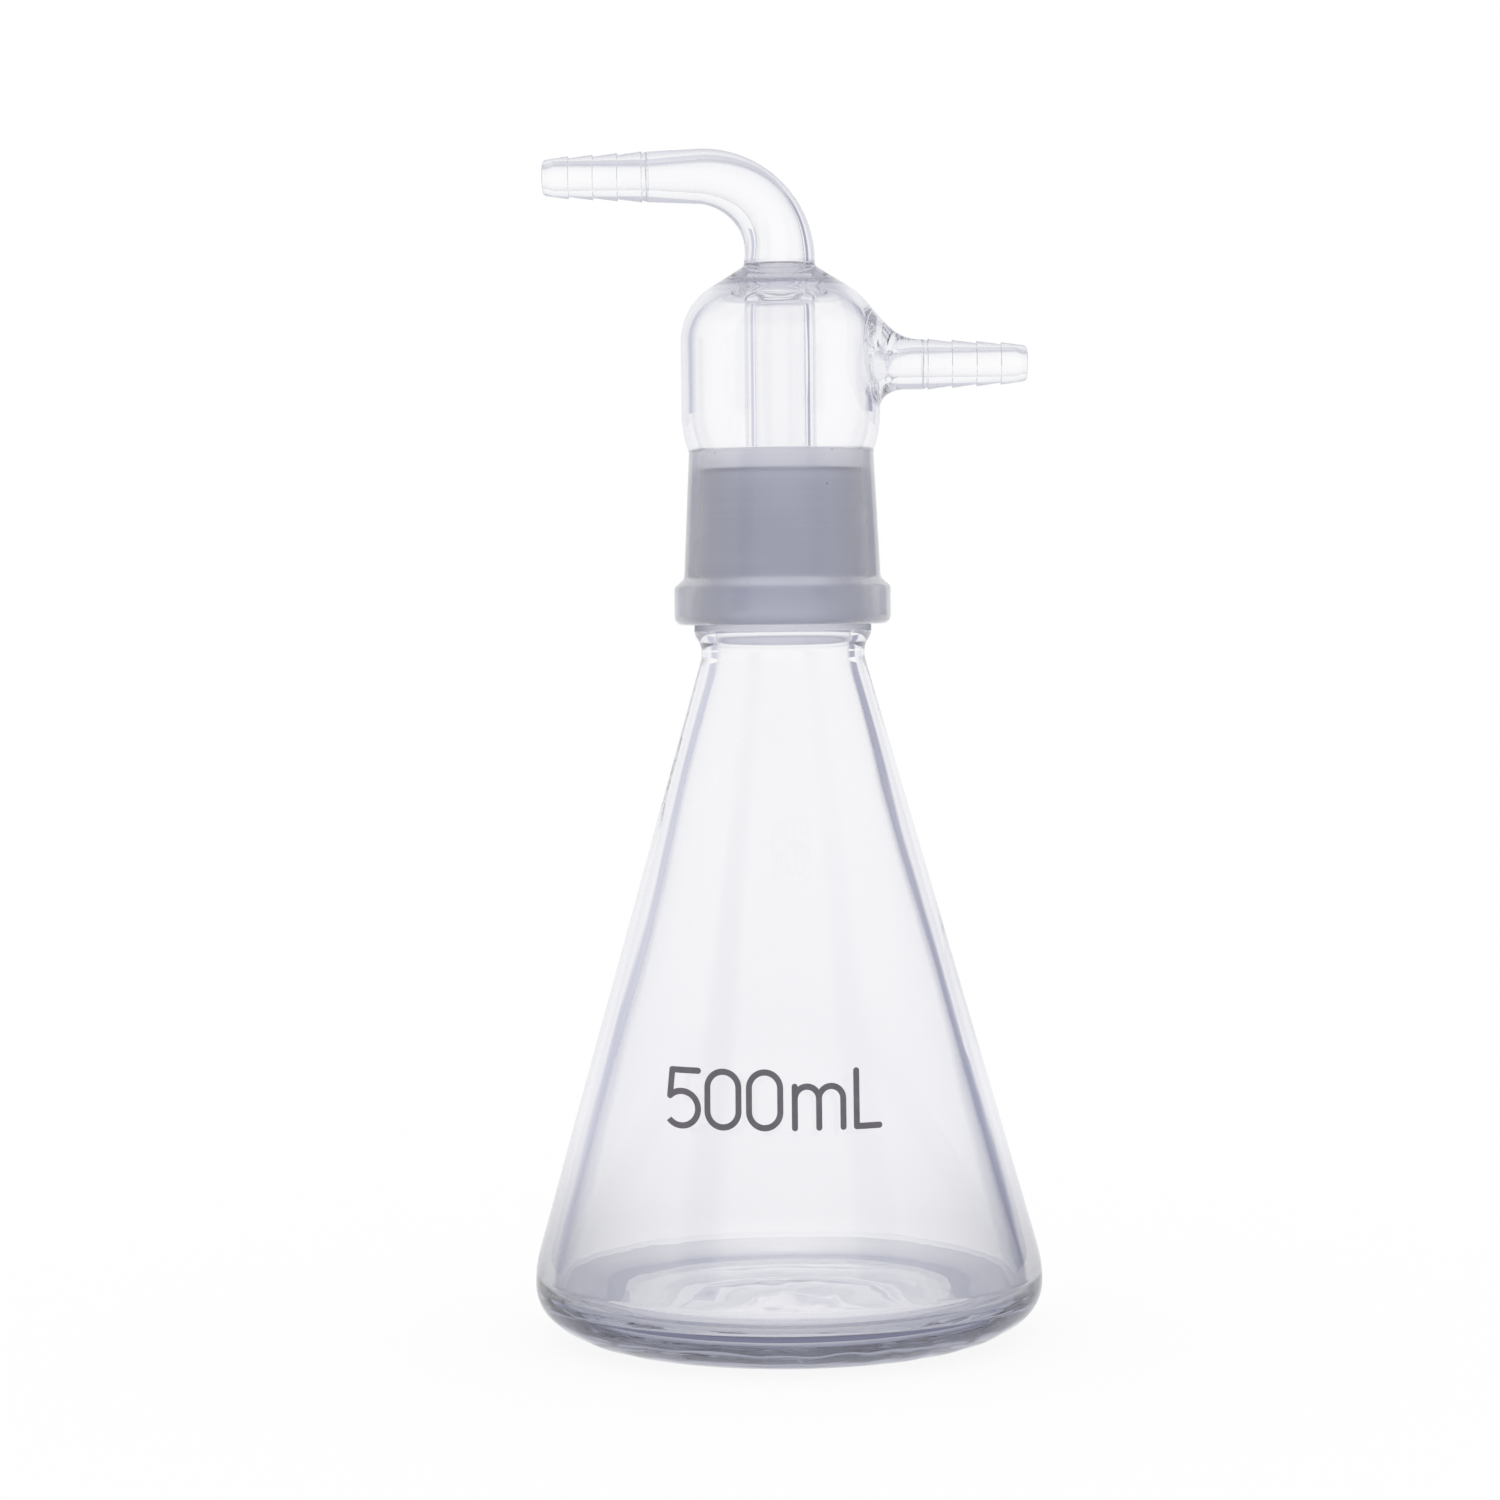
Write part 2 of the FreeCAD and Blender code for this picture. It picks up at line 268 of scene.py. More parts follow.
def flask_body(materials):
    """Thick conical wall on a heavy heel, with a pushed-up bottom and a raised disc for a floor."""
    base_radius, neck_z = body_high[0], body_high[2]
    wall_slope = 0.2845
    cone_radius, cone_z = 28.0, 119.7
    lower_z, heel_z = 60.0, 15.0
    upper_wall, lower_wall, heel_wall = 3.95, 5.3, 5.0
    punt_radius, punt_height = 38.5, 2.6
    foot_radius, under_radius, side_z = 41.5, 48.1, 7.2
    waist_radius, waist_z = 18.45, 156.0
    lip_radius, lip_z = 19.85, 158.2
    throat_radius, throat_z = 14.15, 154.4
    floor_z, disc_radius, disc_rise, disc_edge = 9.3, 41.5, 0.6, 1

    def wall_radius(z):
        return cone_radius + wall_slope * (cone_z - z)

    def wall_height(radius):
        return cone_z - (radius - cone_radius) / wall_slope

    lower_radius = wall_radius(lower_z) - lower_wall
    heel_radius = wall_radius(heel_z) - heel_wall
    lean = (heel_radius - lower_radius) / (lower_z - heel_z)
    corners = [
        (0, punt_height, 0),
        (punt_radius / 2, punt_height, 230),
        (punt_radius, 0, 4),
        (foot_radius, 0, 0, HEEL),
        (under_radius, 0, 19, HEEL),
        (base_radius, side_z, 10, HEEL),
        (base_radius, wall_height(base_radius), 27),
        (waist_radius, wall_height(waist_radius), 5),
        (waist_radius, waist_z, 4),
        (lip_radius, lip_z, 4.5),
        (cone_high[0], neck_z, 0, SEAM),
        (neck_bore, neck_z, 0, BORE),
        (throat_radius, throat_z, 17, BORE),
        (cone_radius - upper_wall, cone_z, 200, BORE),
        (lower_radius, lower_z, 300, BORE),
        (heel_radius + lean * (heel_z - floor_z), floor_z, 4, ANNULUS),
        (disc_radius + disc_edge, floor_z, 1.5, ANNULUS),
        (disc_radius - disc_edge, floor_z + disc_rise, 1.5, DISC),
        (0, floor_z + disc_rise, 0, DISC),
    ]
    profile, kinds = outline(corners, closed=False)
    rows_left_true = 8
    inside_from = kinds.index(SEAM) + rows_left_true
    drift = wall_drift(0.08)
    swirl = waves(count=26, longest=26.0, shortest=6.0, size=0.11)
    glint = wall_drift(0.1, lobes=34)
    glint_share = 0.08
    ripple_radius, ripple_z = 44.5, 6.5
    wall_from, wall_to = floor_z + 3, neck_z - 4
    calm_radius = disc_radius - 2

    def ripple(r, z, row, angles):
        """Shift along the radius and along Z: on the heel, then the inner wall, then the floor."""
        if row < inside_from:
            fade = min(fade_in(r - ripple_radius, width=3), fade_in(ripple_z - z, width=2))
            return 0, np.maximum(glint(angles, z) + glint_share, 0) * fade
        if z > wall_from:
            return drift(angles, z) * fade_in(wall_to - z, width=30), 0
        pressed = swirl(r * np.cos(angles), r * np.sin(angles))
        return 0, pressed * fade_in(calm_radius - r, width=6)

    built = lathe(profile, kinds, ripple, on_axis=True)
    make_piece("flask_body", *built, "flask", "clear_glass", materials)


def flask_ground_cone(materials):
    """Ground outside, with a fire-polished rim and bore."""
    rim_radius = cone_high[0] - taper * (cone_high[2] - cone_low[2])
    rim_bore = 15.0
    corners = [
        (neck_bore, cone_low[2], 0, SEAM),
        (cone_high[0], cone_low[2], 0, GROUND),
        (rim_radius, cone_high[2], 0.5, CLEAR),
        (rim_bore, cone_high[2], 1.2, BORE),
    ]
    make_piece("flask_ground_cone", *lathe(*outline(corners)), "ground_cone", "ground_glass", materials)


# ---------------------------------------------------------------- the head

def joint_bore(z):
    """Radius of the socket's ground bore, a hair larger than the cone that seats in it."""
    return cone_high[0] - taper * (z - cone_low[2]) + joint_clearance


def drawn_in(z, depth, height, width):
    """How far a fused ring narrows a bore at height z."""
    return depth * np.exp(-((z - height) / width) ** 2)


def inlet_bore(z):
    """Bore of the inlet tube, drawn in where it was fused into the dome and at the collar."""
    ring_seal = drawn_in(z, depth=0.45, height=235.0, width=1.6)
    collar = drawn_in(z, depth=0.2, height=238.3, width=0.35)
    return tube_bore - ring_seal - collar


def head_ground_socket(materials):
    """Ground inside, with a beaded rim."""
    rim_z, top_z = socket_low[2], socket_high[2]
    bead_radius, bead_shoulder_z = socket_high[0], 169.3
    lower_radius, bead_top_z = 22.2, 171.3
    corners = [
        (joint_bore(rim_z), rim_z, 0.3, CLEAR),
        (bead_radius, rim_z, 2.0),
        (bead_radius, bead_shoulder_z, 1.5),
        (lower_radius, bead_top_z, 1.5),
        (socket_top_radius, top_z, 0, SEAM),
        (joint_bore(top_z), top_z, 0, GROUND),
    ]
    make_piece("head_ground_socket", *lathe(*outline(corners)), "head", "ground_glass", materials)


def dome_profiles(longest, turn):
    """Outer and inner outline of the dome, each from the socket seam upwards."""
    low, high = dome_low[2], dome_high[2]
    radius = dome_high[0]
    wall = 2.3
    foot_z = low + 0.5
    side_z, inner_side_z = low + 4.8, low + 5.3
    shoulder_z, inner_shoulder_z = 232.4, 231.1
    collar_z, ceiling_z, ceiling_radius = 241.4, 236.5, 11.5
    mouth = joint_bore(low)
    outer, _ = outline([
        (socket_top_radius, low, 0),
        (socket_top_radius, foot_z, 2),
        (radius, side_z, 23),
        (radius, shoulder_z, 14),
        (tube_radius, collar_z, 1.2),
        (tube_radius, high, 0),
    ], closed=False, longest=longest, turn=turn)
    inner, _ = outline([
        (mouth, low, 0),
        (mouth, foot_z, 2),
        (radius - wall, inner_side_z, 22),
        (radius - wall, inner_shoulder_z, 11.7),
        (ceiling_radius, ceiling_z, 1.5),
        (tube_radius, ceiling_z, 2.8),
        (tube_radius, tube_high[2], 0),
    ], closed=False, longest=longest, turn=turn)
    return outer, inner


# Fine outlines tell the dome's radius at any height, coarser ones make its mesh
outer_line, inner_line = dome_profiles(longest=0.05, turn=0.25)
outer_mesh_line, inner_mesh_line = dome_profiles(longest=0.8, turn=4)

# The part of the dome round the outlet, where its grid of faces gives way to the flare's
window_low, window_high = 205.6, 236.0
window_rows = 44
window_columns = 30


def dome_radius_at(line, z):
    """Radius of a dome outline at height z, where the outline rises steadily."""
    rising = line[: int(np.argmax(line[:, 1])) + 1]
    return np.interp(z, rising[:, 1], rising[:, 0])


def through_window(line, fine_line):
    """The outline with evenly spaced heights across the window, and the first of those rows."""
    margin = 0.2
    heights = np.linspace(window_low, window_high, window_rows)
    inside = np.stack([dome_radius_at(fine_line, heights), heights], axis=1)
    peak = int(np.argmax(line[:, 1]))
    below = [p for p in line[:peak + 1] if p[1] < window_low - margin]
    above = [p for p in line[:peak + 1] if p[1] > window_high + margin]
    return np.array(below + inside.tolist() + above + line[peak + 1:].tolist()), len(below)


def on_dome(line, angle, z):
    """Points of the dome's surface at these angles and heights."""
    radius = dome_radius_at(line, z)
    return np.stack([radius * np.cos(angle), radius * np.sin(angle), z], axis=-1)


def window_edge():
    """(angle, height) of each grid corner round the window's edge, in order."""
    columns = np.arange(-window_columns, window_columns + 1) * 2 * math.pi / around
    heights = np.linspace(window_low, window_high, window_rows)
    edge = [(a, heights[0]) for a in columns[:-1]]
    edge += [(columns[-1], z) for z in heights[:-1]]
    edge += [(a, heights[-1]) for a in columns[:0:-1]]
    edge += [(columns[0], z) for z in heights[:0:-1]]
    return np.array(edge)


def bearings():
    """Direction round the outlet's axis of each point of the window's edge."""
    edge = window_edge()
    points = on_dome(outer_line, edge[:, 0], edge[:, 1])
    return np.arctan2(points[:, 1], points[:, 2] - outlet_z)


def droop(bearing):
    """1 straight above the outlet, where its flare runs up onto the shoulder, to 0 below."""
    return ((1 + np.cos(bearing)) / 2) ** 2


def patch_reach(bearing):
    """Distance from the outlet's axis to the edge of the side arm's piece."""
    more_above = 4.6
    return patch_radius + more_above * droop(bearing)


def surface_x(line, reach, bearing):
    """X where the dome's surface meets a line along X, given from the outlet's axis."""
    y = reach * np.sin(bearing)
    z = outlet_z + reach * np.cos(bearing)
    return np.sqrt(dome_radius_at(line, z) ** 2 - y ** 2)


def head_dome(materials):
    """Dome, with a round hole where the outlet's flare is fused in."""
    collar_from, ceiling_from = 236.0, 235.5
    ground_to = dome_low[2] + 0.9
    outer, outer_first = through_window(outer_mesh_line, outer_line)
    inner, inner_first = through_window(inner_mesh_line, inner_line)
    bore_rows = 60
    down = np.linspace(dome_high[2], tube_high[2], bore_rows)
    top = np.stack([inlet_bore(down), down], axis=1)
    profile = np.array(outer.tolist() + top.tolist() + inner[::-1].tolist())
    kinds = [COLLAR if z > collar_from else CLEAR for r, z in outer]
    kinds += [BORE] * len(top)
    kinds += [ANNULUS if z > ceiling_from else GROUND if z < ground_to else BORE for r, z in inner[::-1]]
    for row in (len(outer) - 1, len(outer) + len(top) - 1, -1):
        kinds[row] = SEAM
    vertices, faces, face_kinds = lathe(profile, kinds)

    # The window's faces are taken out of both skins. Each skin is given as its first window row,
    # the step to the next one up, its fine outline and its surface.
    outside = (outer_first, 1, outer_line, CLEAR)
    inside = (len(profile) - 1 - inner_first, -1, inner_line, BORE)
    columns = np.arange(-window_columns, window_columns) % around
    kept = np.ones(len(faces), bool)
    for first, step, _, _ in (outside, inside):
        for row in first + step * np.arange(window_rows - 1) - (step < 0):
            kept[row * around + columns] = False
    faces = [face for face, keep in zip(faces, kept) if keep]
    face_kinds = [kind for kind, keep in zip(face_kinds, kept) if keep]

    # Rings of faces lead from the window's square edge to the hole's round one
    vertices = vertices.tolist()
    edge = window_edge()
    bearing = bearings()
    reach = patch_reach(bearing)
    column = np.round(edge[:, 0] * around / (2 * math.pi)).astype(int) % around
    row = np.round((edge[:, 1] - window_low) / (window_high - window_low) * (window_rows - 1)).astype(int)
    rings = 7
    holes = []
    for first, step, line, kind in (outside, inside):
        x = surface_x(line, reach, bearing)
        y = reach * np.sin(bearing)
        z = outlet_z + reach * np.cos(bearing)
        hole = np.stack([np.arctan2(y, x), z], axis=1)
        previous = ((first + step * row) * around + column).tolist()
        for ring in range(1, rings + 1):
            share = ring / rings
            share = share * (2 - share) if ring < rings else 1.0
            place = edge * (1 - share) + hole * share
            current = list(range(len(vertices), len(vertices) + len(edge)))
            vertices.extend(on_dome(line, place[:, 0], place[:, 1]).tolist())
            if step > 0:
                band(previous, current, kind, faces, face_kinds)
            else:
                band(current, previous, kind, faces, face_kinds)
            previous = current
        holes.append(previous)
    band(*holes, SEAM, faces, face_kinds)
    make_piece("head_dome", vertices, faces, face_kinds, "head", "clear_glass", materials)


def arc_between(start, heading_in, end, heading_out, steps):
    """Points of a smooth bend from start to end with the given headings, ends included."""
    roundness = 0.39
    handle = roundness * np.linalg.norm(end - start, axis=-1, keepdims=True)
    first = start + heading_in * handle
    second = end - heading_out * handle
    t = np.linspace(0, 1, steps + 1)[:, None, None]
    return ((1 - t) ** 3 * start + 3 * (1 - t) ** 2 * t * first
            + 3 * (1 - t) * t ** 2 * second + t ** 3 * end)


def flare(line, tube, bend, reach_x, bearing, steps):
    """Rows of (x, reach) from the patch's edge down the dome and round onto the tube.

    The bend starts that far outside the tube's radius, and ends reach_x beyond the dome.
    """
    rows_on_dome, slope_step = 16, 0.05
    along_x = np.array([1.0, 0.0])
    edge = patch_reach(bearing)
    rows = []
    for share in np.linspace(0, 1, rows_on_dome):
        reach = edge + (tube + bend - edge) * share
        rows.append(np.stack([surface_x(line, reach, bearing), reach], axis=1))
    start = rows[-1]
    before = surface_x(line, start[:, 1] + slope_step, bearing)
    heading = np.stack([start[:, 0] - before, np.full_like(bearing, -slope_step)], axis=1)
    heading /= np.linalg.norm(heading, axis=1, keepdims=True)
    on_tube = np.full_like(bearing, tube)
    end = np.stack([surface_x(line, on_tube, bearing) + reach_x, on_tube], axis=1)
    return rows + list(arc_between(start, heading, end, along_x, steps)[1:])


def level_rows(start_x, end_x, shares, reach):
    """Rows of (x, reach) at shares of the way along the tube, at one distance from its axis."""
    return [np.stack([start_x + (end_x - start_x) * share, np.full_like(start_x, reach)], axis=1)
            for share in shares]


def tube_wall(rings, outer_count):
    """Closed tube wall from its outer rings and then its inner ones back again, with seam ends."""
    total = len(rings)
    count = len(rings[0])
    numbers = [range(ring * count, (ring + 1) * count) for ring in range(total)]
    faces = []
    kinds = []
    for ring in range(total):
        at_seam = ring in (outer_count - 1, total - 1)
        kind = SEAM if at_seam else CLEAR if ring < outer_count else BORE
        band(numbers[ring], numbers[(ring + 1) % total], kind, faces, kinds)
    return np.concatenate(rings), faces, kinds


def outlet_side_arm(materials):
    """Flare drawn out of the dome's wall, and the short tube that carries the nozzle."""
    seam_x = arm_high[0]
    barb_over_root = 0.05
    root = nozzle_high[2] - outlet_z - barb_over_root
    bearing = bearings()
    above = droop(bearing)
    bend, reach_x = 4.2 + 5.4 * above, 5.4 + 3.8 * above
    inner_bend, inner_reach_x = 3.6, 3.8
    outside = flare(outer_line, root, bend, reach_x, bearing, steps=36)
    outside += level_rows(outside[-1][:, 0], seam_x, (0.35, 0.7, 0.97), root)
    outside += level_rows(outside[-1][:, 0], seam_x, (1.0,), root - seam_groove)
    inside = flare(inner_line, nozzle_bore, inner_bend, inner_reach_x, bearing, steps=20)
    inside += level_rows(inside[-1][:, 0], seam_x, (0.5, 1.0), nozzle_bore)
    rings = []
    for row in outside + inside[::-1]:
        x, reach = row.T
        rings.append(np.stack([x, reach * np.sin(bearing), outlet_z + reach * np.cos(bearing)], axis=1))
    make_piece("outlet_side_arm", *tube_wall(rings, len(outside)), "head", "clear_glass", materials)


def inner_tube(materials):
    """Straight tube below the ring seal, with a fire-polished lower end."""
    end_rounding = 0.9
    corners = [
        (tube_bore, tube_low[2], end_rounding, CLEAR),
        (tube_radius, tube_low[2], end_rounding),
        (tube_radius, tube_high[2], 0, SEAM),
        (tube_bore, tube_high[2], 0, BORE),
    ]
    drift = wall_drift(0.03, lobes=3)
    # Rows at the bore's own radius narrow, and those across the seam above it don't
    widest_bore = tube_bore + 0.01

    def ripple(r, z, row, angles):
        narrowing = inlet_bore(z) - tube_bore if r < widest_bore else 0.0
        return drift(angles, z) * fade_in(tube_high[2] - z, width=12) + narrowing, 0

    built = lathe(*outline(corners, longest=0.6), ripple, segments=around_tube)
    make_piece("inner_tube", *built, "head", "clear_glass", materials)


def sweep_rings(centres, headings, radii):
    """Rings of points about a path in the XZ plane."""
    angles = np.arange(around_tube) * 2 * math.pi / around_tube
    rings = []
    for centre, heading, radius in zip(centres, headings, radii):
        across = np.array([-heading[1], heading[0]])
        rings.append(np.stack([centre[0] + across[0] * radius * np.cos(angles),
                               radius * np.sin(angles),
                               centre[1] + across[1] * radius * np.cos(angles)], axis=1))
    return rings


def inlet_elbow(materials):
    """Tube bent from upright to level, narrowing as it turns, then tapering to the nozzle."""
    outer_reach = elbow_high[2] - elbow_low[2]
    pivot = np.array([tube_radius - outer_reach, elbow_low[2]])
    end_radius, end_bore = 6.2, 3.8
    seam_x = elbow_low[0]
    rings_in_bend = 46
    bore_offset = 0.6
    # Rows along the level run crowd towards the seam
    level_shares = (0.15, 0.3, 0.45, 0.6, 0.75, 0.88, 0.96, 0.985, 1.0)
    centres = []
    bore_centres = []
    headings = []
    outer = []
    inner = []
    for angle in np.linspace(0, 90, rings_in_bend):
        share = angle / 90
        outside = tube_radius + (end_radius - tube_radius) * share
        turn = math.radians(angle)
        radial = np.array([math.cos(turn), math.sin(turn)])
        centres.append(pivot + radial * (outer_reach - outside))
        bore_centres.append(centres[-1] + radial * bore_offset * math.sin(math.pi * share) ** 2)
        headings.append(np.array([-math.sin(turn), math.cos(turn)]))
        outer.append(outside)
        inner.append(tube_bore + (end_bore - tube_bore) * share)
    level = centres[-1][1]
    for share in level_shares:
        centres.append(np.array([pivot[0] + (seam_x - pivot[0]) * share, level]))
        bore_centres.append(centres[-1])
        headings.append(np.array([-1.0, 0.0]))
        outer.append(end_radius + (nozzle_root - end_radius) * share)
        inner.append(end_bore + (nozzle_bore - end_bore) * share)
    outer[-1] -= seam_groove
    rings = sweep_rings(centres, headings, outer) + sweep_rings(bore_centres, headings, inner)[::-1]
    make_piece("inlet_elbow", *tube_wall(rings, len(centres)), "head", "clear_glass", materials)


def hose_nozzle(node, seam_x, height, direction, materials):
    """Barbed nozzle with a fire-polished tip, along X in the given direction from its seam."""
    length = nozzle_high[0] - nozzle_low[0]
    tip_radius, tip_bore, tip_taper = 3.95, 2.1, 2.6
    shoulder = 0.12
    barbs, pitch, first_barb = 4, 5.5, 5.9
    first_radius, growth, step, step_length = 4.8, 0.3, 0.45, 0.15
    corners = [(nozzle_bore, 0, 0, SEAM), (nozzle_root - seam_groove, 0, 0), (nozzle_root, shoulder, 0.06)]
    for i in reversed(range(barbs)):
        from_seam = length - first_barb - pitch * i
        ridge = first_radius + growth * i
        corners.append((ridge - step, from_seam - step_length, 0.12))
        corners.append((ridge, from_seam, 0.1))
    corners.append((tip_radius, length, 1.1))
    corners.append((tip_bore, length, 0.5, BORE))
    corners.append((nozzle_bore, length - tip_taper, 2, BORE))
    vertices, faces, kinds = lathe(*outline(corners, turn=12), segments=around_tube)
    placed = np.stack([seam_x + direction * vertices[:, 2], -direction * vertices[:, 1],
                       height + vertices[:, 0]], axis=1)
    make_piece(node, placed, faces, kinds, "head", "clear_glass", materials)


# ---------------------------------------------------------------- materials

# Rate per metre at which glass takes away red, green and blue light
glass_loss = (10.0, 10.0, 7.0)
glass_ior = 1.473
white = (1, 1, 1, 1)


def new_material(name):
    material = bpy.data.materials.new(name)
    material.use_nodes = True
    tree = material.node_tree
    tree.nodes.clear()
    return material, tree


def add(tree, kind, inputs=None, **settings):
    """Node with settings, and inputs given as values or as other nodes' outputs."""
    node = tree.nodes.new("ShaderNode" + kind)
    for key, value in settings.items():
        setattr(node, key, value)
    for key, value in (inputs or {}).items():
        if isinstance(value, bpy.types.NodeSocket):
            tree.links.new(value, node.inputs[key])
        else:
            node.inputs[key].default_value = value
    return node


def stretched(tree, scale):
    """Object coordinates scaled by (x, y, z), in cycles per metre."""
    place = add(tree, "TexCoord").outputs["Object"]
    return add(tree, "Mapping", {"Vector": place, "Scale": scale}).outputs["Vector"]


def noise(tree, scale, detail=2.0, distortion=0.0):
    """Noise from 0 to 1, with a scale in cycles per metre along X, Y and Z."""
    inputs = {"Vector": stretched(tree, scale), "Scale": 1.0, "Detail": detail, "Distortion": distortion}
    return add(tree, "TexNoise", inputs).outputs["Fac"]


def remap(tree, value, low, high, to_low, to_high):
    inputs = {"Value": value, "From Min": low, "From Max": high, "To Min": to_low, "To Max": to_high}
    return add(tree, "MapRange", inputs).outputs["Result"]


def smooth_step(tree, value, low, high):
    inputs = {"Value": value, "From Min": low, "From Max": high}
    return add(tree, "MapRange", inputs, interpolation_type="SMOOTHSTEP").outputs["Result"]


def maths(tree, operation, *values):
    return add(tree, "Math", dict(enumerate(values)), operation=operation).outputs[0]


def specks(tree, scale, size):
    """1 inside small sparse specks, 0 elsewhere."""
    core = 0.6
    cells = add(tree, "TexVoronoi", {"Vector": stretched(tree, scale), "Scale": 1.0})
    return remap(tree, cells.outputs["Distance"], size, size * core, 0.0, 1.0)


def mix_colour(tree, share, first, second, blend="MIX"):
    node = tree.nodes.new("ShaderNodeMix")
    node.data_type = "RGBA"
    node.blend_type = blend
    # A mix node's inputs for colours share their names with its inputs for numbers
    factor, a, b = node.inputs[0], node.inputs[6], node.inputs[7]
    for socket, value in ((factor, share), (a, first), (b, second)):
        if isinstance(value, bpy.types.NodeSocket):
            tree.links.new(value, socket)
        else:
            socket.default_value = value
    return node.outputs[2]


def edge_painted_shade(tree, edge, sharpness):
    """Painted shade: colour that turns from clear to edge where a ray meets the surface at a glancing
    angle, darkening the glass along its outlines.
    """
    facing = add(tree, "LayerWeight", {"Blend": 0.5}).outputs["Facing"]
    return mix_colour(tree, maths(tree, "POWER", facing, sharpness), white, edge)


def foot_painted_shade(tree, edge, sharpness, low, high):
    """Painted edge shade that comes in down a wall, from none at the high level to all at the low one, so
    that a wall's foot is painted darker.
    """
    place = add(tree, "SeparateXYZ", {"Vector": add(tree, "TexCoord").outputs["Object"]})
    share = smooth_step(tree, place.outputs["Z"], high, low)
    return mix_colour(tree, share, white, edge_painted_shade(tree, edge, sharpness))


def multiplied(tree, first, second):
    return mix_colour(tree, 1.0, first, second, blend="MULTIPLY")


def thickness_tint(tree):
    """What the glass lets through of a ray that leaves it: lavender-grey over a long way."""
    way = add(tree, "LightPath").outputs["Ray Length"]
    leaving = add(tree, "NewGeometry").outputs["Backfacing"]
    inside = maths(tree, "MULTIPLY", way, leaving)
    channels = {}
    for channel, loss in zip(("Red", "Green", "Blue"), glass_loss):
        # Twice the loss, because a principled surface passes the square root of its colour
        power = maths(tree, "MULTIPLY", inside, -2 * loss)
        channels[channel] = maths(tree, "EXPONENT", power)
    return add(tree, "CombineColor", channels).outputs["Color"]


def finish_tree(tree, surface):
    add(tree, "OutputMaterial", {"Surface": surface})


def clear_glass(name, edge, sharpness, foot=None):
    """Fire-polished glass: faint drawn cords, a few seeds, and a trace of haze.

    Its colour is painted shade at glancing angles times the glass's absorption along the ray, and foot
    holds the values for a painted shade that darkens a wall's foot.
    """
    material, tree = new_material(name)
    # Painted shade at glancing angles, times the glass's own absorption along the ray
    tint_and_painted_shade = multiplied(tree, edge_painted_shade(tree, edge, sharpness), thickness_tint(tree))
    if foot is not None:
        # Painted shade darkening the foot of the wall
        tint_and_painted_shade = multiplied(tree, tint_and_painted_shade, foot_painted_shade(tree, **foot))
    cords = noise(tree, (60, 60, 9), 2.0, 0.4)
    haze = noise(tree, (45, 45, 45), 4.0)
    seeds = specks(tree, (38, 38, 22), 0.014)
    bump = add(tree, "Bump", {"Strength": 0.25, "Distance": 0.0004, "Height": cords})
    dimples = add(tree, "Bump", {"Strength": 0.8, "Distance": 0.0004, "Height": seeds,
                                 "Normal": bump.outputs["Normal"]})
    principled = add(tree, "BsdfPrincipled", {
        "Base Color": tint_and_painted_shade,
        "IOR": glass_ior,
        "Transmission Weight": 1.0,
        "Roughness": remap(tree, haze, 0.45, 0.75, 0.0, 0.03),
        "Normal": dimples.outputs["Normal"],
    })
    finish_tree(tree, principled.outputs["BSDF"])
    return material


def ground_glass():
    """Face ground with fine grit, which leaves rings round the joint's axis and a few chips."""
    material, tree = new_material("Ground glass")
    rings = noise(tree, (14, 14, 1500), 3.0, 0.2)
    patches = noise(tree, (40, 40, 60), 4.0)
    chips = specks(tree, (170, 170, 170), 0.055)
    # The tones' lavender-grey level is painted shade, for the dimmer light a frosted face passes; their
    # differences are the grinding's own rings, rubbed patches and chips
    groove, ridge = (0.73, 0.745, 0.82, 1), (0.78, 0.79, 0.86, 1)
    rubbed, chipped = (0.8, 0.81, 0.87, 1), (0.3, 0.3, 0.34, 1)
    streaked = mix_colour(tree, remap(tree, rings, 0.3, 0.7, 0.0, 1.0), groove, ridge)
    patched = mix_colour(tree, remap(tree, patches, 0.35, 0.7, 0.0, 0.5), streaked, rubbed)
    tone = mix_colour(tree, remap(tree, chips, 0.0, 1.0, 0.0, 0.9), patched, chipped)
    grain = noise(tree, (2600, 2600, 2600), 2.0)
    bump = add(tree, "Bump", {"Strength": 0.12, "Distance": 0.0001, "Height": grain})
    grooves = add(tree, "Bump", {"Strength": 0.12, "Distance": 0.0001, "Height": rings,
                                 "Normal": bump.outputs["Normal"]})
    principled = add(tree, "BsdfPrincipled", {
        "Base Color": multiplied(tree, tone, thickness_tint(tree)),
        "IOR": glass_ior,
        "Transmission Weight": 1.0,
        "Roughness": remap(tree, patches, 0.3, 0.7, 0.45, 0.6),
        "Normal": grooves.outputs["Normal"],
    })
    finish_tree(tree, principled.outputs["BSDF"])
    return material


def fused_seam():
    """Where two pieces of glass are one, nothing shows."""
    material, tree = new_material("Fused seam")
    clear = add(tree, "BsdfTransparent", {"Color": white})
    finish_tree(tree, clear.outputs["BSDF"])
    return material


def enamel():
    """Fired-on grey enamel, slightly uneven in tone, with a fine grain."""
    material, tree = new_material("Enamel")
    dark, light = (0.085, 0.078, 0.095, 1), (0.15, 0.14, 0.165, 1)
    grain = noise(tree, (3500, 3500, 3500), 2.0)
    bump = add(tree, "Bump", {"Strength": 0.3, "Distance": 0.0001, "Height": grain})
    principled = add(tree, "BsdfPrincipled", {
        "Base Color": mix_colour(tree, noise(tree, (500, 500, 500), 4.0), dark, light),
        "Roughness": remap(tree, grain, 0.3, 0.7, 0.4, 0.6),
        "Normal": bump.outputs["Normal"],
    })
    finish_tree(tree, principled.outputs["BSDF"])
    return material


